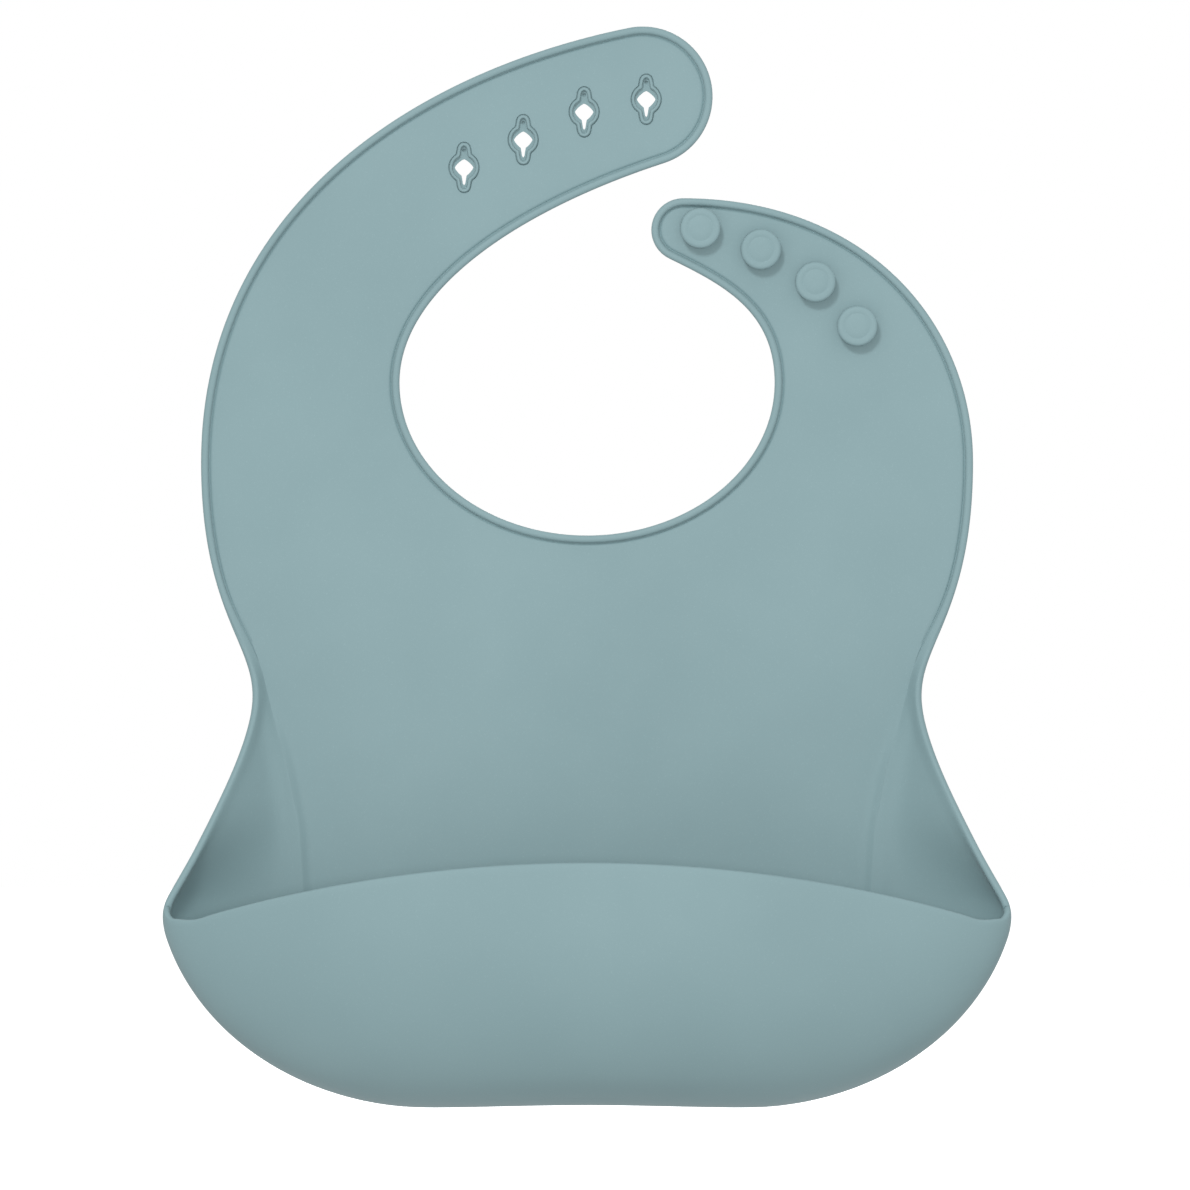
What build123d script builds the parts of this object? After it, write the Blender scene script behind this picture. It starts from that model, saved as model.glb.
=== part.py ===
from build123d import *
import math
import os

# Moulded silicone bib, standing in the plane of its panel: +Z up, front towards -Y, back face at Y = 0.
# The origin is the centre of the neck opening. All sizes in millimetres.

# Neck opening
neck_half = 52.0
neck_depth = 42.3

# Panel outline
shoulder_half = 107.0
shoulder_z = -22.0
waist_half = 93.2
waist_z = -87.0
panel = 1.8
bead_width = 2.4
bead_rise = 0.9

# How far each bow of the outline keeps its direction, as a share of its straight distance
shoulder_reach = 0.60
waist_reach = 0.24
strap_reach = 0.41
strap_top_reach = 0.37
strap_under_reach = 0.42
neck_left_reach = 0.28
neck_right_reach = 0.44
stud_under_reach = 0.37
stud_top_reach = 0.46
right_shoulder_reach = 0.365

# Long strap, with the eyelets
hole_strap_x = 15.4
hole_strap_z = 79.4
hole_strap_end_r = 19.4
hole_strap_top = 101.5
hole_strap_tip = 15.0
hole_strap_under = -72.0

# Short strap, with the studs
stud_strap_x = 26.6
stud_strap_z = 42.4
stud_strap_end_r = 8.8
stud_strap_top = 90.0
stud_strap_tip = 167.0
stud_strap_under = -116.0

# Bends of the sheet
fold_gap = 2.4
waist_fold_z = -62.0
wrap_angle = 140.0

# Pocket
pocket_half = 119.0
pocket_widest_z = -135.0
pocket_bottom_z = -200.7
keel_half = 43.5
keel_depth = 14.0
tip_z = -145.0
tip_depth = 24.0
pocket_depth = 48.0
rim_z = -132.8
rim_drop = 17.0
rim_run = 112.0
crease_half = 78.0
crease_z = -135.0
edge_rise = 15.5
edge_lean = 9.0
waist_run = 15.0
web_hollow = 1.5
front_return = 0.9
wall = 1.6
front_half = 75.0
side_gap = 0.6
flex_z = -176.0
front_back = 26.0

# Roundness of the pocket's section: how far each curve keeps its direction
side_spread = 0.6
side_start = 0.35
side_end = 0.45
front_round = 0.55

# Studs and eyelets
stud_head_d = 11.1
stud_head_h = 2.0
stud_rim_h = 0.7
stud_top_d = 8.0
stud_stem_h = 2.2
eyelet_bore = 6.3
stem_clearance = 0.3
eyelet_lobe = 2.2
eyelet_tall = 12.0
eyelet_lip = 1.2
eyelet_rise = 0.5
web = 0.6
slit_wide = 5.1
slit_tall = 6.0
stud_places = [(31.4, 42.8), (48.2, 36.9), (63.3, 27.9), (74.9, 15.7)]
hole_places = [(-34.1, 59.7), (-17.7, 67.4), (-0.8, 75.1), (16.4, 78.6)]

# Larger than the whole object, for cutting
far = 400.0

up, down = 90.0, -90.0


def way(degrees):
    return Vector(math.cos(math.radians(degrees)), math.sin(math.radians(degrees)))


def bow(start, start_way, start_reach, end, end_way, end_reach):
    """Cubic between two points. The ways are in degrees, the reaches are shares of the straight distance."""
    span = (end - start).length
    leaving = start + way(start_way) * span * start_reach
    arriving = end - way(end_way) * span * end_reach
    return Bezier(start, leaving, arriving, end)


def panel_outline():
    """Outline from the waist up, clockwise, so it leaves a strap's round end 90 degrees below its radius."""
    long_end = Vector(hole_strap_x, hole_strap_z)
    long_top = long_end + way(hole_strap_top) * hole_strap_end_r
    long_tip = long_end + way(hole_strap_tip) * hole_strap_end_r
    long_under = long_end + way(hole_strap_under) * hole_strap_end_r
    short_end = Vector(stud_strap_x, stud_strap_z)
    short_top = short_end + way(stud_strap_top) * stud_strap_end_r
    short_tip = short_end + way(stud_strap_tip) * stud_strap_end_r
    short_under = short_end + way(stud_strap_under) * stud_strap_end_r
    waist_left, waist_right = Vector(-waist_half, waist_z), Vector(waist_half, waist_z)
    side_left, side_right = Vector(-shoulder_half, shoulder_z), Vector(shoulder_half, shoulder_z)
    neck_left, neck_right = Vector(-neck_half, 0), Vector(neck_half, 0)
    edges = [
        bow(waist_left, up, waist_reach, side_left, up, shoulder_reach),
        bow(side_left, up, strap_reach, long_top, hole_strap_top + down, strap_top_reach),
        ThreePointArc(long_top, long_tip, long_under),
        bow(long_under, hole_strap_under + down, strap_under_reach, neck_left, down, neck_left_reach),
        EllipticalCenterArc((0, 0), neck_half, neck_depth, 180, arc_size=180),
        bow(neck_right, up, neck_right_reach, short_under, stud_strap_under + down, stud_under_reach),
        ThreePointArc(short_under, short_tip, short_top),
        bow(short_top, stud_strap_top + down, stud_top_reach, side_right, down, right_shoulder_reach),
        bow(side_right, down, shoulder_reach, waist_right, down, waist_reach),
        Line(waist_right, waist_left),
    ]
    return make_face(edges)


def redrawn(sketch):
    """The same outline with each edge as a plain spline, which a STEP file keeps."""
    steps = 10
    shares = [step / steps for step in range(steps + 1)]
    return make_face([Spline([edge @ share for share in shares]) for edge in sketch.edges()])


def half_plane(x, z, degrees):
    """Everything to the left of the line through x, z that runs along degrees."""
    return Pos(x, z) * Rot(0, 0, degrees) * Pos(0, far / 2) * Rectangle(2 * far, far)


def upright(sketch, amount):
    """A flat shape drawn in X and Z, thickened from the back face towards the front."""
    return extrude(Plane.XZ * sketch, amount=amount)


def zone_of(sheet, zone):
    return sheet & upright(zone, far)


def eyelet_hole(grow):
    """Round middle with a narrow lobe above and below."""
    lobe = SlotOverall(eyelet_tall + 2 * grow, eyelet_lobe + 2 * grow, rotation=90)
    return Circle(eyelet_bore / 2 + grow) + lobe


def eyelet(x, z):
    ring = upright(eyelet_hole(eyelet_lip) - eyelet_hole(0), panel + eyelet_rise)
    side, top = slit_wide / 2, slit_tall / 2
    slit = make_face(Polyline((side, 0), (0, top), (-side, 0), (0, -top), close=True))
    middle = Pos(0, -(panel - web) / 2, 0) * upright(eyelet_hole(0) - slit, web)
    return Pos(x, 0, z) * (ring + middle)


def stud(x, z):
    stem_r = (eyelet_bore - stem_clearance) / 2
    head_r = stud_head_d / 2
    top_r = stud_top_d / 2
    rim_top = stud_stem_h + stud_rim_h
    head_top = stud_stem_h + stud_head_h
    stem = [(0, 0), (stem_r, 0), (stem_r, stud_stem_h)]
    head = [(head_r, stud_stem_h), (head_r, rim_top), (top_r, head_top), (0, head_top)]
    profile = make_face(Polyline(*stem, *head, close=True))
    return Pos(x, -panel, z) * Rot(90, 0, 0) * revolve(Plane.XZ * profile, Axis.Z)


# Pocket. Each level is one height: half width of the silhouette, how far forward the silhouette lies,
# depth of the front, and half width of the crease where the side web leaves the back wall.

def bezier(a, b, c, d, t):
    return a * (1 - t) ** 3 + 3 * b * t * (1 - t) ** 2 + 3 * c * t * t * (1 - t) + d * t ** 3


def crease(z):
    """Half width of the line where the side web leaves the back wall, above the corners."""
    rise = max(z - crease_z, 0) / (waist_z - crease_z)
    return crease_half + (waist_half - crease_half) * rise ** 2


def basin_level(turn):
    """Below the corners. turn is 0 at the bottom and 1 at the corners."""
    height = pocket_widest_z - pocket_bottom_z
    tip_angle = math.acos((pocket_widest_z - tip_z) / height)
    opening = math.sin(turn * math.pi / 2)
    z = pocket_widest_z - height * math.cos(turn * tip_angle)
    half = keel_half + (pocket_half - keel_half) * math.sin(turn * tip_angle)
    tip_half = keel_half + (pocket_half - keel_half) * math.sin(tip_angle)
    depth = keel_depth + (pocket_depth - keel_depth) * opening
    forward = keel_depth / 2 + (tip_depth - keel_depth / 2) * opening
    return z, half, forward, depth, crease_half * half / tip_half


def web_level(t):
    """Above the corners. t is 0 at the corners and 1 at the waist."""
    tip_half = basin_level(1)[1]
    z = bezier(tip_z, tip_z + edge_rise, waist_z - waist_run, waist_z, t)
    half = bezier(tip_half, tip_half - edge_lean, waist_half, waist_half, t)
    forward = panel + (tip_depth - panel) * (1 - t) ** web_hollow
    depth = pocket_depth * (1 - front_return * t ** 3)
    return z, half, forward, depth, crease(z)


def pocket_section(level, inset):
    """One height of the pocket, open towards the back: the sheet behind it is trimmed off later."""
    z, half, forward, depth, root = level
    half, depth, root = half - inset, depth - inset, root - inset / 2
    start = -inset / 2
    lean = forward + start
    out = half - root
    deep = depth - forward
    leaving = (root + side_spread * out, start - side_start * lean)
    side = Bezier((root, start), leaving, (half, start - side_end * lean), (half, -forward))
    turning = (half, -forward - front_round * deep)
    front = Bezier((half, -forward), turning, (front_round * half, -depth), (0, -depth))
    rear = Polyline((-root, start), (-root, panel), (root, panel), (root, start))
    left_front = mirror(front, about=Plane.YZ)
    left_side = mirror(side, about=Plane.YZ)
    return Pos(0, 0, z) * make_face([side, front, left_front, left_side, rear])


basin_turns = [0, 0.2, 0.4, 0.6, 0.8, 1]
web_turns = [0.2, 0.4, 0.6, 0.8, 0.95]


def pocket_solid(inset):
    levels = [basin_level(t) for t in basin_turns] + [web_level(t) for t in web_turns]
    return loft([pocket_section(level, inset) for level in levels])


def rim_height(x):
    return rim_z - rim_drop * (x / rim_run) ** 2


def above_rim():
    """Region in front of the side webs' free edges and above the rim curve."""
    end = 1.1 * pocket_half
    rim = Spline([(x, rim_height(x)) for x in (-end, -end / 2, 0, end / 2, end)])
    over_frame = Polyline(rim @ 1, (end, 0), (-end, 0), rim @ 0)
    over = extrude(Plane.XZ * make_face([rim, over_frame]), amount=far)
    levels = [web_level(t) for t in (0, 0.25, 0.5, 0.75, 1)]
    edge = Spline([(-forward, z) for z, half, forward, depth, root in levels])
    low_z = tip_z - rim_drop
    ahead_frame = Polyline(edge @ 1, (-far, waist_z), (-far, low_z), (-tip_depth, low_z), edge @ 0)
    ahead = extrude(Plane.YZ * make_face([edge, ahead_frame]), amount=far, both=True)
    return over & ahead


def back_wall():
    levels = [web_level(t) for t in (0.75, 0.5, 0.25)] + [basin_level(t) for t in reversed(basin_turns)]
    side = [(root, z) for z, half, forward, depth, root in levels]
    right_side = Spline([(waist_half, waist_z)] + side)
    left_side = mirror(right_side, about=Plane.YZ)
    top = Line((-waist_half, waist_z), (waist_half, waist_z))
    return make_face([right_side, left_side, top, Line(right_side @ 1, left_side @ 1)])


def block(x0, x1, y0, y1, z0, z1):
    return Pos((x0 + x1) / 2, (y0 + y1) / 2, (z0 + z1) / 2) * Box(x1 - x0, y1 - y0, z1 - z0)


nodes = {}

# Sheet of the chest and straps, with its edge bead
outline = panel_outline()
inset_outline = redrawn(offset(outline, amount=-bead_width))
sheet = upright(outline, panel + bead_rise) - Pos(0, -panel, 0) * upright(inset_outline, far)

half_gap = fold_gap / 2
wrap_side = way(wrap_angle + 90) * half_gap
over_fold = half_plane(0, half_gap, 0)
before_wrap = half_plane(wrap_side.X, wrap_side.Y, wrap_angle)
after_wrap = half_plane(-wrap_side.X, -wrap_side.Y, wrap_angle + 180)
chest_zone = half_plane(0, waist_fold_z + half_gap, 0) & half_plane(0, -half_gap, 180)

nodes["chest_panel"] = zone_of(sheet, chest_zone)
nodes["hole_strap_shoulder"] = zone_of(sheet, over_fold & before_wrap)
short_piece, long_piece = sorted(zone_of(sheet, over_fold & after_wrap).solids(), key=lambda s: s.center().Z)
nodes["stud_strap"] = short_piece
for number, (x, z) in enumerate(hole_places, 1):
    nodes[f"eyelet_{number}"] = eyelet(x, z)
    long_piece -= Pos(x, 0, z) * upright(eyelet_hole(eyelet_lip), far)
nodes["hole_strap_end"] = long_piece
for number, (x, z) in enumerate(stud_places, 1):
    nodes[f"stud_{number}"] = stud(x, z)

# Back wall of the pocket, up to the waist fold
waist_zone = half_plane(0, waist_z, 0) & half_plane(0, waist_fold_z - half_gap, 180)
nodes["lower_panel"] = upright((outline & waist_zone) + back_wall(), panel)

# Pocket shell, cut into its sections
shell = pocket_solid(0) - Pos(0, 0, wall) * pocket_solid(wall)
shell -= block(-far, far, 0, far, -far, far)
shell -= above_rim()
shell -= nodes["lower_panel"]

side_cut = front_half + side_gap
front_zone = block(-front_half, front_half, -far, -front_back, flex_z + half_gap, far)
front_room = block(-side_cut, side_cut, -far, -front_back, flex_z - half_gap, far)
floor_zone = block(-side_cut, side_cut, -far, far, -far, flex_z - half_gap)
web_zone = block(-far, far, -tip_depth - 2 * wall, far, tip_z, far)
halves = {"left": block(-far, 0, -far, far, -far, far), "right": block(0, far, -far, far, -far, far)}

nodes["pocket_front"] = shell & front_zone
nodes["pocket_floor"] = shell & floor_zone
for side, half in halves.items():
    end = (shell & half) - front_room - floor_zone
    nodes[f"{side}_gusset"] = end & web_zone
    nodes[f"{side}_pocket_end"] = end - web_zone

os.makedirs("parts", exist_ok=True)
for name, solid in nodes.items():
    export_step(solid, f"parts/{name}.step")
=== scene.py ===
import math

import bmesh
import bpy
import numpy as np
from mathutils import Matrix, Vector
from mathutils.geometry import delaunay_2d_cdt


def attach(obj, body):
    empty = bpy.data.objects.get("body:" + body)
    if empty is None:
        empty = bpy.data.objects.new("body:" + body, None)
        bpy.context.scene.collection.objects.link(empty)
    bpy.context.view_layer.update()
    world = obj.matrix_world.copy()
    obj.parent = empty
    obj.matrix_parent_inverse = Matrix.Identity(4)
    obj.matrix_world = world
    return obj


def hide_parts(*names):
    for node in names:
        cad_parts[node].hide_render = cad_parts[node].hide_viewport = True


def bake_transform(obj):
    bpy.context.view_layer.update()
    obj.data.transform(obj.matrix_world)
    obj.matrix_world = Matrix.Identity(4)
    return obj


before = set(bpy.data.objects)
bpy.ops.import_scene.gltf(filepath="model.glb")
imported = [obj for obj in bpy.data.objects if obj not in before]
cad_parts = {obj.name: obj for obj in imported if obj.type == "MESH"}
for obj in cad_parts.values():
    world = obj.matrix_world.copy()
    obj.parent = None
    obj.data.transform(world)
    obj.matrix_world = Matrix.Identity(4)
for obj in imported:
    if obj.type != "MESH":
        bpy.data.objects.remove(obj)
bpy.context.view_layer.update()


# ---- Moulded sheet ----------------------------------------------------------------------------------------
# The chest and both straps are one sheet of silicone, moulded flat. A soft raised bead with a fine groove
# inside it runs round the edge. The sheet is made whole, then cut clear of its bends, so that each bend lies
# inside one piece.

mm = 0.001
neck_half = 52.0
neck_depth = 42.3
shoulder_half = 107.0
shoulder_z = -22.0
waist_half = 93.2
waist_z = -87.0
panel = 1.8
long_end = np.array((15.4, 79.4))
long_end_r = 19.4
long_top_way = 101.5
long_under_way = -72.0
short_end = np.array((26.6, 42.4))
short_end_r = 8.8
short_top_way = 90.0
short_under_way = -116.0

# How far each bow of the outline keeps its direction, as a share of its straight distance
shoulder_reach = 0.60
waist_reach = 0.24
strap_reach = 0.41
strap_top_reach = 0.37
strap_under_reach = 0.42
neck_left_reach = 0.28
neck_right_reach = 0.44
stud_under_reach = 0.37
stud_top_reach = 0.46
right_shoulder_reach = 0.365

hole_places = [(-34.1, 59.7), (-17.7, 67.4), (-0.8, 75.1), (16.4, 78.6)]
hole_r = 4.35
hole_lobe = 4.2
hole_tall = 14.4

# Fineness of the mesh
bow_points = 120
arc_points = 90
lobe_points = 88
edge_step = 1.3
flat_step = 2.6
row_share = 0.866
edge_clear = 1.6
hole_clear = 1.3


def way(degrees):
    return np.array((math.cos(math.radians(degrees)), math.sin(math.radians(degrees))))


def cubic(a, b, c, d, t):
    return a * (1 - t) ** 3 + 3 * b * t * (1 - t) ** 2 + 3 * c * t * t * (1 - t) + d * t ** 3


def bow(start, start_way, start_reach, end, end_way, end_reach):
    """Cubic between two points; each reach is the handle's share of the straight distance."""
    start, end = np.array(start, float), np.array(end, float)
    span = np.linalg.norm(end - start)
    t = np.linspace(0, 1, bow_points, endpoint=False)[:, None]
    leaving = start + way(start_way) * span * start_reach
    arriving = end - way(end_way) * span * end_reach
    return cubic(start, leaving, arriving, end, t)


def arc(centre, wide, tall, first, last):
    turn = np.radians(np.linspace(first, last, arc_points, endpoint=False))
    return np.array(centre) + np.stack((wide * np.cos(turn), tall * np.sin(turn)), 1)


def smooth(t):
    t = np.clip(t, 0, 1)
    return t * t * (3 - 2 * t)


def spaced(loop, step):
    """Points at an even step round a closed loop."""
    closed = np.vstack((loop, loop[:1]))
    run = np.concatenate(([0], np.cumsum(np.linalg.norm(np.diff(closed, axis=0), axis=1))))
    marks = np.linspace(0, run[-1], round(run[-1] / step), endpoint=False)
    return np.stack((np.interp(marks, run, closed[:, 0]), np.interp(marks, run, closed[:, 1])), 1)


def inward(loop):
    """Unit normals that point into a loop drawn clockwise."""
    along = np.roll(loop, -1, 0) - np.roll(loop, 1, 0)
    along /= np.linalg.norm(along, axis=1)[:, None]
    return np.stack((along[:, 1], -along[:, 0]), 1)


def inside(points, loop):
    """Which of the points lie inside a closed loop."""
    ax, az = loop[:, 0], loop[:, 1]
    bx, bz = np.roll(ax, -1), np.roll(az, -1)
    px, pz = points[:, :1], points[:, 1:]
    crosses = ((az > pz) != (bz > pz)) & (px < (bx - ax) * (pz - az) / (bz - az + 1e-12) + ax)
    return crosses.sum(1) % 2 == 1


def lobed(round_r, lobe, tall):
    """Outline of a circle with a narrow round-ended lobe above and below, drawn clockwise."""
    turn = np.linspace(0, -2 * math.pi, lobe_points, endpoint=False)
    side, up = np.abs(np.cos(turn)) + 1e-9, np.abs(np.sin(turn))
    half, cap = lobe / 2, tall / 2 - lobe / 2
    flat = half / side
    at_cap = cap * up + np.sqrt(np.maximum(half ** 2 - (cap * side) ** 2, 0))
    reach = np.where(flat * up < cap, flat, at_cap)
    reach = np.maximum(reach, round_r)
    for _ in range(2):
        reach = 0.5 * reach + 0.25 * (np.roll(reach, 1) + np.roll(reach, -1))
    return np.stack((reach * np.cos(turn), reach * np.sin(turn)), 1)


def piece(name, points_mm, faces, sharp=40):
    """A mesh object from points in millimetres, with its faces turned outwards."""
    mesh = bpy.data.meshes.new(name)
    mesh.from_pydata((np.array(points_mm) * mm).tolist(), [], faces)
    body = bmesh.new()
    body.from_mesh(mesh)
    bmesh.ops.recalc_face_normals(body, faces=body.faces)
    body.to_mesh(mesh)
    body.free()
    finish_mesh(mesh, sharp)
    thing = bpy.data.objects.new(name, mesh)
    bpy.context.scene.collection.objects.link(thing)
    return thing


def finish_mesh(mesh, sharp):
    mesh.shade_smooth()
    mesh.set_sharp_from_angle(angle=math.radians(sharp))


corner_r = 6.0
waist_corner = np.array((waist_half - corner_r, waist_z))
long_top = long_end + way(long_top_way) * long_end_r
long_under = long_end + way(long_under_way) * long_end_r
short_top = short_end + way(short_top_way) * short_end_r
short_under = short_end + way(short_under_way) * short_end_r
left_waist, right_waist = (-waist_half, waist_z), (waist_half, waist_z)
left_side, right_side = (-shoulder_half, shoulder_z), (shoulder_half, shoulder_z)
outline = np.vstack((
    bow(left_waist, 90, waist_reach, left_side, 90, shoulder_reach),
    bow(left_side, 90, strap_reach, long_top, long_top_way - 90, strap_top_reach),
    arc(long_end, long_end_r, long_end_r, long_top_way, long_under_way),
    bow(long_under, long_under_way + 270, strap_under_reach, (-neck_half, 0), -90, neck_left_reach),
    arc((0, 0), neck_half, neck_depth, 180, 360),
    bow((neck_half, 0), 90, neck_right_reach, short_under, short_under_way + 270, stud_under_reach),
    arc(short_end, short_end_r, short_end_r, short_under_way + 360, short_top_way),
    bow(short_top, short_top_way - 90, stud_top_reach, right_side, -90, right_shoulder_reach),
    bow(right_side, -90, shoulder_reach, right_waist, -90, waist_reach),
    arc(waist_corner, corner_r, corner_r, 0, -90),
    arc(waist_corner * (-1, 1), corner_r, corner_r, 270, 180),
))
outline = spaced(outline, edge_step)

# Across the edge, from the outline inwards over the bead, the fine groove and the sheet: distance in, and
# height of the front face
across = [
    (0.00, 1.70), (0.08, 2.15), (0.30, 2.50), (0.70, 2.68), (1.15, 2.70), (1.60, 2.62), (1.90, 2.40),
    (2.08, 1.95), (2.22, 1.45), (2.46, 1.34), (2.66, 1.58), (2.90, 1.76), (3.30, 1.80),
]
back_edge = [(0.00, 0.60), (0.08, 0.28), (0.30, 0.08), (0.70, 0.00)]
across_in, across_front = np.array(across).T
back_in, back_low = np.array(back_edge).T
normal = inward(outline)
loops = [outline + normal * step for step in across_in]

hole = lobed(hole_r, hole_lobe, hole_tall)
holes = [hole + np.array(place) for place in hole_places]
columns, rows = np.meshgrid(np.arange(-110, 110, flat_step), np.arange(-92, 100, flat_step * row_share))
columns[1::2] += flat_step / 2
inner = np.stack((columns.ravel(), rows.ravel()), 1)
inner = inner[inside(inner, loops[-1])]
for ring, clear in [(loops[-1], edge_clear)] + [(one, hole_clear) for one in holes]:
    gap = np.sqrt(((inner[:, None] - ring[None]) ** 2).sum(2)).min(1)
    inner = inner[gap > clear]
for one in holes:
    inner = inner[~inside(inner, one)]

flat = np.vstack((loops[-1], *holes, inner))
marks = []
start = 0
for ring in (loops[-1], *holes):
    count = len(ring)
    marks += [(start + k, start + (k + 1) % count) for k in range(count)]
    start += count
found, _, triangles, origins, _, _ = delaunay_2d_cdt([Vector(p) for p in flat.tolist()], marks, [], 0, 1e-5)
found = np.array([(v.x, v.y) for v in found])
centres = found[np.array(triangles)].mean(1)
good = inside(centres, loops[-1])
for one in holes:
    good &= ~inside(centres, one)
triangles = [t for t, keep in zip(triangles, good) if keep]

rim_count = len(outline)
source = {}
for made, kinds in enumerate(origins):
    for old in kinds:
        source[old] = made
points, faces = [], []
for side in ("front", "back"):
    base = len(points)
    for number in range(len(across) - 1):
        if side == "front":
            height = across_front[number]
        else:
            height = np.interp(across_in[number], back_in, back_low)
        rim = loops[number]
        points += np.stack((rim[:, 0], np.full(rim_count, -height), rim[:, 1]), 1).tolist()
    last = len(points)
    y = -panel if side == "front" else 0.0
    points += [(x, y, z) for x, z in found]
    for number in range(len(across) - 1):
        for k in range(rim_count):
            after = (k + 1) % rim_count
            low_row = base + number * rim_count
            if number < len(across) - 2:
                high_row = low_row + rim_count
                faces.append((low_row + k, low_row + after, high_row + after, high_row + k))
            else:
                faces.append((low_row + k, low_row + after, last + source[after], last + source[k]))
    faces += [tuple(last + v for v in t) for t in triangles]
    if side == "front":
        front_base, front_last = base, last
    else:
        for k in range(rim_count):
            after = (k + 1) % rim_count
            faces.append((front_base + k, front_base + after, base + after, base + k))
        start = rim_count
        for ring in holes:
            count = len(ring)
            for k in range(count):
                a, b = source[start + k], source[start + (k + 1) % count]
                faces.append((front_last + a, front_last + b, last + b, last + a))
            start += count
sheet = piece("sheet", points, faces)


# One material for every piece: matt silicone, with the fine grain of the mould, a faint mottle and dust
base_middle = (0.242, 0.358, 0.378)
base_dark = (0.231, 0.343, 0.363)
base_light = (0.254, 0.373, 0.393)


def silicone():
    made = bpy.data.materials.new("matt_silicone")
    made.use_nodes = True
    tree = made.node_tree
    shader = tree.nodes["Principled BSDF"]
    shader.inputs["Specular IOR Level"].default_value = 0.35
    shader.inputs["IOR"].default_value = 1.41
    shader.inputs["Sheen Weight"].default_value = 0.12
    shader.inputs["Sheen Roughness"].default_value = 0.45
    place = tree.nodes.new("ShaderNodeTexCoord")

    def noise(scale, detail, rough=0.5):
        made = tree.nodes.new("ShaderNodeTexNoise")
        made.inputs["Scale"].default_value = scale
        made.inputs["Detail"].default_value = detail
        made.inputs["Roughness"].default_value = rough
        tree.links.new(place.outputs["Object"], made.inputs["Vector"])
        return made

    def ramp(source, stops):
        made = tree.nodes.new("ShaderNodeValToRGB")
        made.color_ramp.elements[0].position = stops[0][0]
        made.color_ramp.elements[1].position = stops[-1][0]
        for element, (_, colour) in zip(made.color_ramp.elements, (stops[0], stops[-1])):
            element.color = (*colour, 1)
        for position, colour in stops[1:-1]:
            made.color_ramp.elements.new(position).color = (*colour, 1)
        tree.links.new(source.outputs["Fac"], made.inputs["Fac"])
        return made

    mottle = ramp(noise(14, 3), [(0.30, base_dark), (0.50, base_middle), (0.70, base_light)])
    dust = ramp(noise(2600, 2, 0.7), [(0.60, (0, 0, 0)), (0.78, (1, 1, 1))])
    mixed = tree.nodes.new("ShaderNodeMix")
    mixed.data_type = "RGBA"
    mixed.blend_type = "SOFT_LIGHT"
    mixed.inputs[0].default_value = 0.10
    tree.links.new(mottle.outputs["Color"], mixed.inputs[6])
    tree.links.new(dust.outputs["Color"], mixed.inputs[7])
    tree.links.new(mixed.outputs[2], shader.inputs["Base Color"])

    rough = tree.nodes.new("ShaderNodeMapRange")
    rough.inputs["To Min"].default_value = 0.52
    rough.inputs["To Max"].default_value = 0.68
    tree.links.new(noise(90, 4, 0.6).outputs["Fac"], rough.inputs["Value"])
    tree.links.new(rough.outputs["Result"], shader.inputs["Roughness"])

    grain = tree.nodes.new("ShaderNodeBump")
    grain.inputs["Strength"].default_value = 0.10
    grain.inputs["Distance"].default_value = 0.0001
    tree.links.new(noise(3200, 3, 0.6).outputs["Fac"], grain.inputs["Height"])
    wave = tree.nodes.new("ShaderNodeBump")
    wave.inputs["Strength"].default_value = 0.12
    wave.inputs["Distance"].default_value = 0.0006
    tree.links.new(noise(38, 2).outputs["Fac"], wave.inputs["Height"])
    tree.links.new(grain.outputs["Normal"], wave.inputs["Normal"])
    tree.links.new(wave.outputs["Normal"], shader.inputs["Normal"])
    return made


matt_silicone = silicone()


def cut_piece(name, whole, keep, planes, sharp=50):
    """Copy of part of a closed mesh: faces whose centre passes keep, cut at planes and capped there."""
    mesh = whole.data.copy()
    mesh.name = name
    body = bmesh.new()
    body.from_mesh(mesh)
    lost = [f for f in body.faces if not keep(f.calc_center_median() / mm)]
    bmesh.ops.delete(body, geom=lost, context="FACES")
    for place, outward in planes:
        parts = body.verts[:] + body.edges[:] + body.faces[:]
        result = bmesh.ops.bisect_plane(body, geom=parts, dist=1e-7, plane_co=Vector(place) * mm,
                                        plane_no=outward, clear_outer=True)
        edges = [e for e in result["geom_cut"] if isinstance(e, bmesh.types.BMEdge)]
        made = bmesh.ops.edgeloop_fill(body, edges=edges)["faces"]
        bmesh.ops.triangulate(body, faces=made)
    bmesh.ops.recalc_face_normals(body, faces=body.faces)
    body.to_mesh(mesh)
    body.free()
    finish_mesh(mesh, sharp)
    mesh.materials.append(matt_silicone)
    thing = bpy.data.objects.new(name, mesh)
    bpy.context.scene.collection.objects.link(thing)
    return thing


up, down = (0, 0, 1), (0, 0, -1)
strap_cut_z = -14.0
lower_cut_z = -46.0
cut_margin = 6.0


# ---- Chest ------------------------------------------------------------------------------------------------
# Middle of the silicone sheet, round the lower half of the neck opening. It is moulded flat, lies against the
# wearer and carries the rest.

chest_skin = cut_piece("chest_skin", sheet,
                       lambda p: lower_cut_z - cut_margin < p.z < strap_cut_z + cut_margin,
                       [((0, 0, strap_cut_z), up), ((0, 0, lower_cut_z), down)])
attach(chest_skin, "chest")
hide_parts("chest_panel")


# ---- Long strap -------------------------------------------------------------------------------------------
# Part of the same silicone moulding, with the openings near its round end. It goes over one shoulder and
# round the back of the neck, and is two pieces, because it bends in two places.

gap_x = 17.0
gap_z = 49.0
gap_slope = 0.3


def is_short_strap(p):
    """Whether a point is right of and below the line through the gap between the two straps' ends."""
    return p.x > gap_x and p.z < gap_z + gap_slope * p.x


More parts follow.
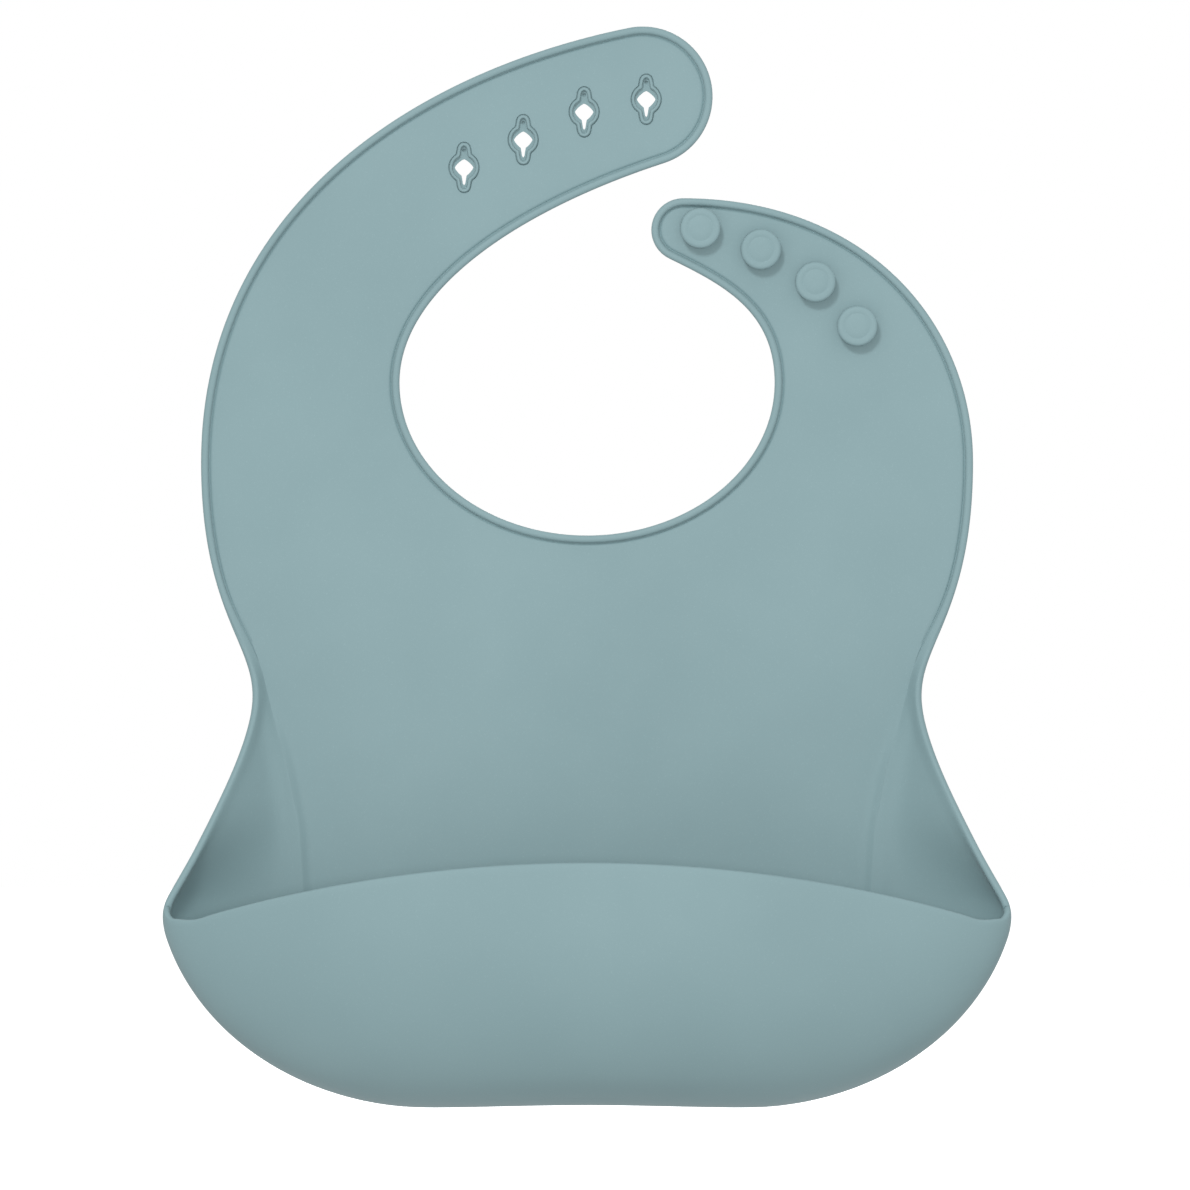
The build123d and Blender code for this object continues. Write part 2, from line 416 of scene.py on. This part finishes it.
wrap_cut_angle = 162.0
cut_out = way(wrap_cut_angle - 90)
cut_normal = (cut_out[0], 0, cut_out[1])
long_strap_root = cut_piece("long_strap_root", sheet, lambda p: p.z > strap_cut_z - cut_margin and p.x < 0,
                            [((0, 0, strap_cut_z), down), ((0, 0, 0), cut_normal)])
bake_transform(long_strap_root)
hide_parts("hole_strap_shoulder")

long_strap_end = cut_piece("long_strap_end", sheet, lambda p: p.z > 0 and not is_short_strap(p),
                           [((0, 0, 0), (-cut_out[0], 0, -cut_out[1]))])
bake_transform(long_strap_end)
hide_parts("hole_strap_end")


# ---- Short strap ------------------------------------------------------------------------------------------
# Part of the same silicone moulding. It goes over the other shoulder, and its whole length carries studs, so
# it bends only at the shoulder.

root_top_z = 10.0


def in_short_strap(p):
    """Whether a point is in the strap itself or in its root beside the neck opening."""
    return p.z > strap_cut_z - cut_margin and p.x > 0 and (is_short_strap(p) or p.z < root_top_z)


short_strap = cut_piece("short_strap", sheet, in_short_strap, [((0, 0, strap_cut_z), down)])
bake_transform(short_strap)
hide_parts("stud_strap")
bpy.data.objects.remove(sheet)


# ---- Waist and pocket -------------------------------------------------------------------------------------
# Back wall, side webs, rounded ends and front, moulded in one silicone shell that stands open by itself. At
# the waist the bead's groove widens into each side web, and a soft step marks where the web leaves the back
# wall. The sheet bends over a lap at the waist, so that band is a piece of its own.

pocket_half = 119.0
pocket_widest_z = -135.0
pocket_bottom_z = -200.7
keel_half = 43.5
keel_depth = 14.0
keel_hollow = 0.9
tip_z = -145.0
tip_depth = 24.0
pocket_depth = 48.0
rim_z = -132.8
rim_drop = 17.0
rim_run = 112.0
rim_corner_z = -148.7
rim_corner_x = 104.0
rim_corner_run = 11.0
front_round = 0.55
crease_half = 78.5
web_wall = 1.7
roll = 0.72
top_z = -40.0
bead_end_z = -52.0
web_start_z = -84.0
pocket_cut_z = -80.0

# Free edge of the web, from the waist to the corner
waist_run = 15.0
edge_rise = 15.5
edge_lean = 9.0

# Where the crease stops following the bead's groove and starts as a line of its own
groove_end_z = -68.0
crease_top_z = -77.0
groove_inset = 3.3
groove_spread = 0.9

table_step = 0.25
tip_ease = 16.0
height = pocket_widest_z - pocket_bottom_z
tip_angle = math.acos((pocket_widest_z - tip_z) / height)


def ellipse_half(z):
    share = np.clip((pocket_widest_z - z) / height, -1, 1)
    return keel_half + (pocket_half - keel_half) * np.sqrt(1 - share ** 2)


def basin_share(z):
    return np.arccos(np.clip((pocket_widest_z - z) / height, -1, 1)) / tip_angle


def front_depth(z):
    return keel_depth + (pocket_depth - keel_depth) * np.sin(basin_share(z) * math.pi / 2)


def over_tip(z):
    """0 below the corners, rising to 1 just above them."""
    return smooth((z - tip_z + 8) / 9)


def eased(values, count):
    """Each entry of a table averaged with its neighbours under a smooth window of count entries."""
    window = np.hanning(count) / np.hanning(count).sum()
    return np.convolve(np.pad(values, count // 2, mode="edge"), window, mode="valid")


# Silhouette: the rounded ends below the corners, the free edge of the web above them, eased into each other
tip_half = float(ellipse_half(tip_z))
t = np.linspace(0, 1, 200)
edge_z = cubic(waist_z, waist_z - waist_run, tip_z + edge_rise, tip_z, t)
edge_half = cubic(waist_half, waist_half, tip_half - edge_lean, tip_half, t)
side_curve = bow(right_waist, 90, waist_reach, right_side, 90, shoulder_reach)
table_z = np.arange(pocket_bottom_z, top_z + 6, table_step)
web_edge = np.interp(table_z, edge_z[::-1], edge_half[::-1])
table_half = np.where(table_z < tip_z, ellipse_half(table_z), web_edge)
above = np.interp(table_z, side_curve[:, 1], side_curve[:, 0])
table_half = np.where(table_z > waist_z, above, table_half)
near_tip = smooth(1 - np.abs(table_z - tip_z) / tip_ease)
table_half = table_half + (eased(table_half, 49) - table_half) * near_tip

# How far forward the silhouette lies at each height
forward_knots = [
    (-200.7, 7.0), (-196, 11.5), (-188, 16.5), (-176, 21.0), (-162, 23.6), (-150, 24.3), (-143, 23.0),
    (-133, 19.2), (-120, 14.0), (-106, 9.0), (-95, 5.6), (-87, 3.6), (-80, 2.2), (-72, 1.0), (-62, 0.2),
    (-54, 0.0), (-30, 0.0),
]
knot_z, knot_y = np.array(forward_knots).T
table_forward = eased(np.interp(table_z, knot_z, knot_y), 65)

web_part = smooth((bead_end_z - table_z) / (bead_end_z - web_start_z))
table_web_half = table_half - roll * web_part * over_tip(table_z)
inset = groove_inset + groove_spread * smooth((groove_end_z + 18 - table_z) / 18)
crease_knots = [(tip_z, crease_half), (-123, 79.9), (-107, 82.9), (-90, 87.8), (crease_top_z, 90.9)]
crease_z, crease_x = np.array(crease_knots).T
on_web = np.interp(table_z, crease_z, crease_x)
table_crease = np.where(table_z > groove_end_z, table_half - inset, on_web)
between = (table_z > crease_top_z) & (table_z < groove_end_z)
first_x = table_crease[table_z <= crease_top_z][-1]
last_x = table_crease[table_z >= groove_end_z][0]
table_crease[between] = np.interp(table_z[between], (crease_top_z, groove_end_z), (first_x, last_x))
table_crease = eased(table_crease, 49)


def half_at(z):
    return np.interp(z, table_z, table_web_half)


def forward_at(z):
    return np.interp(z, table_z, table_forward)


def crease_at(z):
    """Half width of the line where the side web leaves the back wall."""
    below = crease_half * ellipse_half(z) / tip_half
    return np.where(z < tip_z, below, np.interp(z, table_z, table_crease))


low_rows = 70
high_rows = 100
turn = np.linspace(0, tip_angle, low_rows)
low_z = pocket_widest_z - height * np.cos(turn)
high_z = np.linspace(tip_z, top_z, high_rows + 1)[1:]
row_z = np.concatenate((low_z, high_z))
row_z[low_rows - 1] = tip_z

# Columns close together beside the crease: distance from it on the back wall, and share of the way on the web
near = np.array([0, 0.35, 0.7, 1.1, 1.6, 2.3, 3.3, 4.8, 7.0])
web_t = np.array([
    0, 0.012, 0.026, 0.043, 0.063, 0.088, 0.12, 0.16, 0.21, 0.27, 0.34, 0.42, 0.50, 0.58, 0.66, 0.74, 0.81,
    0.87, 0.92, 0.96, 1.0,
])
middle_count = 41
front_count = 61


def web_curve(z, t):
    """Section of the right web at one height. It leaves the back wall more steeply towards the corner."""
    root, half, ahead = crease_at(z), half_at(z), forward_at(z)
    out = half - root
    upright = smooth((-114.0 - z) / 29)
    x = cubic(root, root + (0.26 + 0.20 * upright) * out, half - 0.28 * (1 - upright) * out, half, t)
    y = cubic(0, -0.03 * ahead, -(0.66 - 0.24 * upright) * ahead, -ahead, t)
    return x, y


def back_row(z):
    """Outer points from the left silhouette, by the left web and the back wall, to the right silhouette."""
    root = crease_at(z)
    x, y = web_curve(z, web_t)
    scale = min(1.0, root / 20)
    flat_x = np.concatenate((root - near * scale, np.linspace(root - near[-1] * scale, 0, middle_count)[1:]))
    right_x = np.concatenate((flat_x[::-1], x[1:]))
    right_y = np.concatenate((np.zeros(len(flat_x)), y[1:]))
    return np.concatenate((-right_x[:0:-1], right_x)), np.concatenate((right_y[:0:-1], right_y))


corner_share = 0.14
end_share = 0.35
rim_follow = 2.2
front_v = np.linspace(0, 1, front_count)
front_v = front_v * (0.55 + 0.45 * front_v)
tip_x = tip_half * cubic(1, 1, front_round, 0, front_v)
rim_line = rim_z - rim_drop * (tip_x / rim_run) ** 2
rim_line += (rim_corner_z - rim_line) * smooth((tip_x - rim_corner_x) / rim_corner_run)
rim_line = tip_z + (rim_line - tip_z) * smooth(front_v / corner_share)


def front_row(k):
    """Outer points from just after the right silhouette, across the front, to just before the left one."""
    share = (k / (low_rows - 1)) ** rim_follow
    z = row_z[k] + (rim_line - tip_z) * share
    mix = smooth(front_v / end_share)
    half = half_at(z) + (ellipse_half(z) - half_at(z)) * mix
    plain_forward = keel_depth / 2 + (tip_depth - keel_depth / 2) * np.sin(basin_share(z) * math.pi / 2)
    ahead = forward_at(z) + (plain_forward - forward_at(z)) * mix
    depth = front_depth(z)
    x = cubic(half, half, front_round * half, 0, front_v)
    y = -cubic(ahead, ahead + front_round * (depth - ahead), depth, depth, front_v)
    x, y, z = x[1:], y[1:], z[1:]
    return np.concatenate((x, -x[-2::-1])), np.concatenate((y, y[-2::-1])), np.concatenate((z, z[-2::-1]))


open_count = len(back_row(-150.0)[0])
closed_count = open_count + 2 * (front_count - 1) - 1
outer = np.full((len(row_z), closed_count, 3), np.nan)
for k, z in enumerate(row_z):
    x, y = back_row(z)
    outer[k, :open_count] = np.stack((x, y, np.full(open_count, z)), 1)
    if k < low_rows:
        outer[k, open_count:] = np.stack(front_row(k), 1)
keel_reach = 52.0
keel_fade = 10.0
keel_share = smooth(1 - np.abs(outer[:low_rows, :, 0]) / keel_reach)
lift = keel_hollow * keel_share * smooth(1 - (outer[:low_rows, :, 2] - pocket_bottom_z) / keel_fade)
outer[:low_rows, :, 2] += lift


def grid_normals(block, closed):
    """Unit normals of a grid of points, whose columns may close on themselves."""
    along = np.gradient(block, axis=0)
    if closed:
        wrapped = np.concatenate((block[:, -1:], block, block[:, :1]), 1)
        across_way = (wrapped[:, 2:] - wrapped[:, :-2]) / 2
    else:
        across_way = np.gradient(block, axis=1)
    made = np.cross(across_way, along)
    return made / (np.linalg.norm(made, axis=2)[:, :, None] + 1e-12)


low_normals = grid_normals(outer[:low_rows], True)
all_normals = grid_normals(outer[:, :open_count], False)
normals = np.zeros_like(outer)
normals[:low_rows] = low_normals
normals[low_rows:, :open_count] = all_normals[low_rows:]
normals[low_rows - 1, :open_count] = all_normals[low_rows - 1]
if normals[low_rows // 2, open_count // 2, 1] > 0:
    normals = -normals  # they point into the pocket

# Thickness: the back wall is the sheet's own, the webs and front are thinner; plus the step beside each fold
run = np.concatenate((np.zeros((len(row_z), 1)),
                      np.cumsum(np.linalg.norm(np.diff(outer[:, :open_count], axis=1), axis=2), axis=1)), 1)
left_fold = len(web_t) - 1
right_fold = open_count - len(web_t)
thick = np.full(outer.shape[:2], web_wall)
step_high = 0.95
step_from = 2.5
step_run = 5.5
fold_back = 2.4
fold_run = 2.8
groove_deep = 0.25
groove_at = 3.8
groove_wide = 1.8
lip_thick = 0.4
lip_run = 4.0
for fold, side in ((left_fold, -1), (right_fold, 1)):
    to_web = (run - run[:, fold:fold + 1]) * side
    web_long = np.abs(run[:, 0 if side < 0 else open_count - 1] - run[:, fold])[:, None]
    slope = smooth(1 - (to_web - step_from) / np.minimum(step_run, 0.4 * web_long + 0.3))
    drop = smooth((to_web + fold_back) / fold_run)
    groove = groove_deep * np.exp(-((to_web + groove_at) / groove_wide) ** 2)
    grow = smooth((-82.0 - row_z) / 26)[:, None] * smooth((row_z + 172) / 20)[:, None]
    ridge = np.where(to_web > 0, slope, drop) * step_high - groove
    thick[:, :open_count] += np.where(np.abs(to_web) < 30, ridge * grow, 0)
    to_edge = web_long - to_web
    lip = lip_thick * smooth(1 - to_edge / lip_run) * over_tip(row_z)[:, None]
    thick[:, :open_count] += lip * (to_web > 0)
on_back = np.zeros(closed_count)
on_back[left_fold:right_fold + 1] = 1
thick += (panel - web_wall) * on_back
inner_wall = outer + normals * thick[:, :, None]

# Above the waist the section of the web turns into the section of the bead, column by column
into_web = smooth((bead_end_z - row_z) / (bead_end_z - web_start_z))
halfway = (across_in[:-1] + across_in[1:]) / 2
bead_in = np.sort(np.concatenate((across_in, halfway[[0, 2, 3, 4, 5, 6, 8, 11]])))[::-1]
for k in np.flatnonzero(row_z > web_start_z - 2):
    share = into_web[k]
    half = float(np.interp(row_z[k], table_z, table_half))
    for columns, side in ((slice(right_fold, open_count), 1), (slice(left_fold, None, -1), -1)):
        for wall_points, heights in ((outer, np.interp(bead_in, back_in, back_low)),
                                     (inner_wall, np.interp(bead_in, across_in, across_front))):
            bead = np.stack((side * (half - bead_in), -heights, np.full(len(bead_in), row_z[k])), 1)
            wall_points[k, columns] = bead + (wall_points[k, columns] - bead) * share
    flat_part = slice(left_fold + 1, right_fold)
    inner_wall[k, flat_part, 1] = -panel + (inner_wall[k, flat_part, 1] + panel) * share

points, faces = [], []
number = {}
for layer, wall_points in (("out", outer), ("in", inner_wall)):
    for k in range(len(row_z)):
        for c in range(closed_count if k < low_rows else open_count):
            number[layer, k, c] = len(points)
            points.append(wall_points[k, c])
    for k in range(len(row_z) - 1):
        columns = closed_count if k + 1 < low_rows else open_count - 1
        for c in range(columns):
            after = (c + 1) % closed_count
            faces.append((number[layer, k, c], number[layer, k, after],
                          number[layer, k + 1, after], number[layer, k + 1, c]))
    ring = wall_points[0][:, :2]
    marks = [(c, (c + 1) % closed_count) for c in range(closed_count)]
    fx, fy = np.meshgrid(np.arange(-42, 42.1, 3.0), np.arange(-12.5, 0, 2.5))
    fill = np.stack((fx.ravel(), fy.ravel()), 1)
    fill = fill[inside(fill, ring)]
    gap = np.sqrt(((fill[:, None] - ring[None]) ** 2).sum(2)).min(1)
    fill = fill[gap > 1.0]
    both = np.vstack((ring, fill))
    got, _, tris, origins, _, _ = delaunay_2d_cdt([Vector(p) for p in both.tolist()], marks, [], 0, 1e-6)
    centre = np.array([[got[i].x, got[i].y] for tri in tris for i in tri]).reshape(-1, 3, 2).mean(1)
    ok = inside(centre, ring)
    index = {}
    for made, kinds in enumerate(origins):
        first = kinds[0] if kinds else None
        if first is not None and first < closed_count:
            index[made] = number[layer, 0, first]
        else:
            level = pocket_bottom_z + keel_hollow * smooth(1 - abs(got[made].x) / keel_reach)
            if layer == "in":
                level += web_wall
            index[made] = len(points)
            points.append(np.array((got[made].x, got[made].y, level)))
    faces += [tuple(index[i] for i in tri) for tri, keep in zip(tris, ok) if keep]

# Rounded free edge: down the left web, along the front rim and up the right web
top = len(row_z) - 1
last = low_rows - 1
chain = [(k, 0, (k, 1)) for k in range(top, last, -1)]
chain += [(last, 0, None)]
chain += [(last, c, (last - 1, c)) for c in range(closed_count - 1, open_count - 1, -1)]
chain += [(last, open_count - 1, None)]
chain += [(k, open_count - 1, (k, open_count - 2)) for k in range(last + 1, top + 1)]
aways = []
for k, c, inner_key in chain:
    if inner_key is None:
        aways.append(np.zeros(3))
    else:
        step_out = outer[k, c] - outer[inner_key]
        aways.append(step_out / np.linalg.norm(step_out))
for spot, (k, c, inner_key) in enumerate(chain):
    if inner_key is None:
        both = aways[spot - 1] + aways[spot + 1]
        aways[spot] = both / np.linalg.norm(both)
for _ in range(3):
    middle = [a * 0.25 + b * 0.5 + c * 0.25 for a, b, c in zip(aways, aways[1:], aways[2:])]
    aways = [aways[0]] + middle + [aways[-1]]
bends = 5
edge_rows = []
for (k, c, _), away in zip(chain, aways):
    a, b = outer[k, c], inner_wall[k, c]
    away = away / np.linalg.norm(away)
    wall_half = np.linalg.norm(b - a) / 2
    strip = [number["out", k, c]]
    for bend in range(1, bends):
        angle = math.pi * bend / bends
        strip.append(len(points))
        reach = wall_half * roll / (web_wall / 2) * (into_web[k] if k > last else 1)
        points.append((a + b) / 2 + (a - b) / 2 * math.cos(angle) + away * reach * math.sin(angle))
    strip.append(number["in", k, c])
    edge_rows.append(strip)
for one, two in zip(edge_rows, edge_rows[1:]):
    for bend in range(bends):
        faces.append((one[bend], one[bend + 1], two[bend + 1], two[bend]))

pocket_whole = piece("pocket_whole", points, faces, 60)
waist_skin = cut_piece("waist_skin", pocket_whole, lambda p: p.z > pocket_cut_z - cut_margin,
                       [((0, 0, lower_cut_z), up), ((0, 0, pocket_cut_z), down)], 70)
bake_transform(waist_skin)
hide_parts("lower_panel")

pocket_skin = cut_piece("pocket_skin", pocket_whole, lambda p: True, [((0, 0, pocket_cut_z), up)], 70)
bpy.data.objects.remove(pocket_whole)
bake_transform(pocket_skin)
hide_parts("left_gusset", "right_gusset", "left_pocket_end", "right_pocket_end", "pocket_floor",
            "pocket_front")


# ---- Studs and eyelets ------------------------------------------------------------------------------------
# Four mushroom studs stand on the short strap, and four lipped slits in the long strap take them. Both are
# part of the silicone moulding, so each kind is one small mesh set out along its strap.

def set_out(name, small, places, depth):
    """Copies of a small mesh at places on the sheet's front, made by a node tree and turned into one mesh."""
    tree = bpy.data.node_groups.new(name, "GeometryNodeTree")
    tree.interface.new_socket("Geometry", in_out="INPUT", socket_type="NodeSocketGeometry")
    tree.interface.new_socket("Geometry", in_out="OUTPUT", socket_type="NodeSocketGeometry")
    size = tree.interface.new_socket("Size", in_out="INPUT", socket_type="NodeSocketFloat")
    enter = tree.nodes.new("NodeGroupInput")
    leave = tree.nodes.new("NodeGroupOutput")
    pick = tree.nodes.new("GeometryNodeObjectInfo")
    pick.inputs["Object"].default_value = small
    copies = tree.nodes.new("GeometryNodeInstanceOnPoints")
    real = tree.nodes.new("GeometryNodeRealizeInstances")
    paint = tree.nodes.new("GeometryNodeSetMaterial")
    paint.inputs["Material"].default_value = matt_silicone
    tree.links.new(enter.outputs["Geometry"], copies.inputs["Points"])
    tree.links.new(pick.outputs["Geometry"], copies.inputs["Instance"])
    tree.links.new(enter.outputs["Size"], copies.inputs["Scale"])
    tree.links.new(copies.outputs["Instances"], real.inputs["Geometry"])
    tree.links.new(real.outputs["Geometry"], paint.inputs["Geometry"])
    tree.links.new(paint.outputs["Geometry"], leave.inputs["Geometry"])

    carrier_mesh = bpy.data.meshes.new(name + "_places")
    carrier_mesh.from_pydata([(x * mm, depth * mm, z * mm) for x, z in places], [], [])
    carrier = bpy.data.objects.new(name + "_places", carrier_mesh)
    bpy.context.scene.collection.objects.link(carrier)
    modifier = carrier.modifiers.new("set_out", "NODES")
    modifier.node_group = tree
    modifier[size.identifier] = 1.0
    shown = carrier.evaluated_get(bpy.context.evaluated_depsgraph_get())
    mesh = bpy.data.meshes.new_from_object(shown)
    mesh.name = name
    finish_mesh(mesh, 35)
    thing = bpy.data.objects.new(name, mesh)
    bpy.context.scene.collection.objects.link(thing)
    bpy.data.objects.remove(carrier)
    bpy.data.objects.remove(small)
    return thing


def turned(name, profile, count):
    """A shape turned about the Y axis from (radius, y) points that start and end on the axis."""
    points, faces = [], []
    for radius, y in profile[1:-1]:
        for spoke in range(count):
            angle = 2 * math.pi * spoke / count
            points.append((radius * math.cos(angle), y, radius * math.sin(angle)))
    rings = len(profile) - 2
    for ring in range(rings - 1):
        for spoke in range(count):
            after = (spoke + 1) % count
            faces.append((ring * count + spoke, ring * count + after, (ring + 1) * count + after,
                          (ring + 1) * count + spoke))
    for end, ring in ((profile[0], 0), (profile[-1], rings - 1)):
        points.append((0, end[1], 0))
        for spoke in range(count):
            faces.append((ring * count + spoke, ring * count + (spoke + 1) % count, len(points) - 1))
    return piece(name, points, faces, 35)


stud_places = [(31.4, 42.8), (48.2, 36.9), (63.3, 27.9), (74.9, 15.7)]
stud_r = 5.55
stem_r = 3.0
stem_h = 2.2
head_h = 2.0
top_y = -stem_h - head_h
stud_profile = [
    (0, 0.4), (stem_r + 0.9, 0.4), (stem_r + 0.9, -0.02), (stem_r + 0.45, -0.12), (stem_r + 0.12, -0.45),
    (stem_r, -0.9), (stem_r, -stem_h + 0.35), (stem_r + 0.3, -stem_h), (stud_r - 0.45, -stem_h - 0.05),
    (stud_r - 0.12, -stem_h - 0.22), (stud_r, -stem_h - 0.55), (stud_r, top_y + 0.62),
    (stud_r - 0.06, top_y + 0.44), (stud_r - 0.24, top_y + 0.22), (stud_r - 0.50, top_y + 0.07),
    (stud_r - 0.80, top_y), (3.75, top_y), (3.60, top_y + 0.07), (3.42, top_y + 0.07), (3.27, top_y),
    (1.2, top_y - 0.01), (0, top_y - 0.01),
]
small_stud = turned("small_stud", stud_profile, 72)
studs = set_out("studs", small_stud, stud_places, -panel)
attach(studs, "stud_strap_side")
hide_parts("stud_1", "stud_2", "stud_3", "stud_4")

# Eyelet: a rounded lip on the front, a fine groove round it, a recessed web with a slit that tapers down into
# the lower lobe, and a small blind pit in the upper lobe
lip_loops = [
    (0.00, -0.03), (0.00, panel - 0.42), (0.10, panel - 0.45), (0.22, panel - 0.25), (0.30, panel + 0.20),
    (0.48, panel + 0.44), (0.74, panel + 0.50), (0.98, panel + 0.40), (1.14, panel + 0.10),
    (1.20, panel - 0.60),
]
slit_wide = 2.55
slit_up = 2.3
slit_down = 2.6
tail_reach = 4.9
tail_wide = 1.05
tail_tip = 0.25
pit_z = 4.75
pit_r = 0.50
pit_floor = 0.25
web_front = 1.05
web_back = 0.35
slit_power = 1.3
tail_from = -0.7
count = lobe_points
ring_of = [lobed(hole_r - into, hole_lobe - 2 * into, hole_tall - 2 * into) for into, _ in lip_loops]
turn = np.linspace(0, -2 * math.pi, count, endpoint=False)
side, rise = np.abs(np.cos(turn)) + 1e-9, np.sin(turn)
tall = np.where(rise > 0, slit_up, slit_down)
slit = ((side / slit_wide) ** slit_power + (np.abs(rise) / tall) ** slit_power) ** (-1 / slit_power)
fall = np.maximum(-rise, 1e-9)
tail = np.minimum(tail_wide / (side + (tail_wide - tail_tip) * fall / tail_reach), tail_reach / fall)
slit = np.maximum(slit, np.where(rise < tail_from, tail, 0))
slit_ring = np.stack((slit * np.cos(turn), slit * np.sin(turn)), 1)
pit_ring = np.stack((pit_r * np.cos(turn[::4]), pit_z + pit_r * np.sin(turn[::4])), 1)


def web_face(rings, y):
    """Flat face between an outline and the holes in it: its points, and triangles by point number."""
    flat = np.vstack(rings)
    marks, start = [], 0
    for ring in rings:
        marks += [(start + k, start + (k + 1) % len(ring)) for k in range(len(ring))]
        start += len(ring)
    _, _, found, _, _, _ = delaunay_2d_cdt([Vector(p) for p in flat.tolist()], marks, [], 0, 1e-7)
    centre = flat[np.array(found)].mean(1)
    good = inside(centre, rings[0])
    for ring in rings[1:]:
        good &= ~inside(centre, ring)
    return [(x, -y, z) for x, z in flat], [t for t, keep in zip(found, good) if keep]


def wall_between(one, two, round_count):
    """Faces between two rings that start at these point numbers."""
    made = []
    for k in range(round_count):
        after = (k + 1) % round_count
        made.append((one + k, one + after, two + after, two + k))
    return made


points, faces = [], []
for ring, (_, y) in zip(ring_of, lip_loops):
    points += [(x, -y, z) for x, z in ring]
for layer in range(len(lip_loops) - 1):
    faces += wall_between(layer * count, (layer + 1) * count, count)
front_start = len(points)
front_points, found = web_face((ring_of[-1], slit_ring, pit_ring), web_front)
points += front_points
faces += [tuple(front_start + v for v in t) for t in found]
faces += wall_between(front_start - count, front_start, count)
back_start = len(points)
back_points, found = web_face((ring_of[-1], slit_ring), web_back)
points += back_points
faces += [tuple(back_start + v for v in t) for t in found]
faces += wall_between(front_start + count, back_start + count, count)
points += [(x, 0.03, z) for x, z in ring_of[-1]]
faces += wall_between(back_start, len(points) - count, count)
faces += wall_between(len(points) - count, 0, count)
pit_start = front_start + 2 * count
pit_count = len(pit_ring)
points += [(x, -pit_floor, z) for x, z in pit_ring] + [(0, -pit_floor, pit_z)]
pit_centre = len(points) - 1
pit_low = pit_centre - pit_count
faces += wall_between(pit_start, pit_low, pit_count)
faces += [(pit_low + k, pit_low + (k + 1) % pit_count, pit_centre) for k in range(pit_count)]
small_eyelet = piece("small_eyelet", points, faces, 35)
eyelets = set_out("eyelets", small_eyelet, hole_places, 0.0)
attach(eyelets, "hole_strap_tip")
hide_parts("eyelet_1", "eyelet_2", "eyelet_3", "eyelet_4")


# ---- Studio -----------------------------------------------------------------------------------------------
# Pale floor, a white surround, and three soft lights: a key light from above the front, a fill light level
# with the chest, and one behind.

floor_mesh = bpy.data.meshes.new("studio_floor")
wide = 6.0
floor_z = -0.262
floor_mesh.from_pydata([(-wide, -wide, floor_z), (wide, -wide, floor_z), (wide, wide, floor_z),
                        (-wide, wide, floor_z)], [], [(0, 1, 2, 3)])
floor = bpy.data.objects.new("studio_floor", floor_mesh)
bpy.context.scene.collection.objects.link(floor)
pale = bpy.data.materials.new("pale_floor")
pale.use_nodes = True
pale.node_tree.nodes["Principled BSDF"].inputs["Base Color"].default_value = (0.93, 0.93, 0.93, 1)
pale.node_tree.nodes["Principled BSDF"].inputs["Roughness"].default_value = 0.9
pale.node_tree.nodes["Principled BSDF"].inputs["Emission Color"].default_value = (1, 1, 1, 1)
pale.node_tree.nodes["Principled BSDF"].inputs["Emission Strength"].default_value = 0.55
floor_mesh.materials.append(pale)
floor.visible_diffuse = False
floor.visible_glossy = False

world = bpy.data.worlds.new("studio")
world.use_nodes = True
sky = world.node_tree
backdrop = sky.nodes["Background"]
backdrop.inputs["Color"].default_value = (1, 1, 1, 1)
glow = sky.nodes.new("ShaderNodeBackground")
glow.inputs["Color"].default_value = (1, 1, 1, 1)
direction = sky.nodes.new("ShaderNodeTexCoord")
parts = sky.nodes.new("ShaderNodeSeparateXYZ")
level = sky.nodes.new("ShaderNodeMapRange")
level.inputs["From Min"].default_value = -1.0
level.inputs["To Min"].default_value = 0.65
level.inputs["To Max"].default_value = 0.71
seen = sky.nodes.new("ShaderNodeLightPath")
choose = sky.nodes.new("ShaderNodeMixShader")
sky.links.new(direction.outputs["Generated"], parts.inputs["Vector"])
sky.links.new(parts.outputs["Z"], level.inputs["Value"])
sky.links.new(level.outputs["Result"], glow.inputs["Strength"])
sky.links.new(seen.outputs["Is Camera Ray"], choose.inputs["Fac"])
sky.links.new(glow.outputs["Background"], choose.inputs[1])
sky.links.new(backdrop.outputs["Background"], choose.inputs[2])
sky.links.new(choose.outputs["Shader"], sky.nodes["World Output"].inputs["Surface"])
bpy.context.scene.world = world
bpy.context.scene.view_settings.view_transform = "Standard"


def soft_light(name, place, target, size, power):
    light = bpy.data.lights.new(name, "AREA")
    light.shape = "DISK"
    light.size = size
    light.energy = power
    thing = bpy.data.objects.new(name, light)
    thing.location = place
    thing.rotation_euler = (Vector(target) - Vector(place)).to_track_quat("-Z", "Y").to_euler()
    bpy.context.scene.collection.objects.link(thing)


soft_light("key_light", (-0.45, -1.90, 1.15), (0, 0, -0.05), 0.45, 17.5)
soft_light("front_light", (0.15, -2.55, -0.02), (0, 0, -0.08), 0.45, 16.0)
soft_light("back_light", (0.30, 2.40, 0.70), (0, 0, -0.05), 1.0, 16.0)

view_distance = 4.0
field = 0.330
sensor = 36.0
middle_x = 0.0022
middle_z = -0.0588
camera_data = bpy.data.cameras.new("camera")
camera_data.sensor_width = sensor
camera_data.lens = sensor * view_distance / field
camera = bpy.data.objects.new("camera", camera_data)
camera.location = (middle_x, -view_distance, middle_z)
camera.rotation_euler = (math.pi / 2, 0, 0)
bpy.context.scene.collection.objects.link(camera)
bpy.context.scene.camera = camera
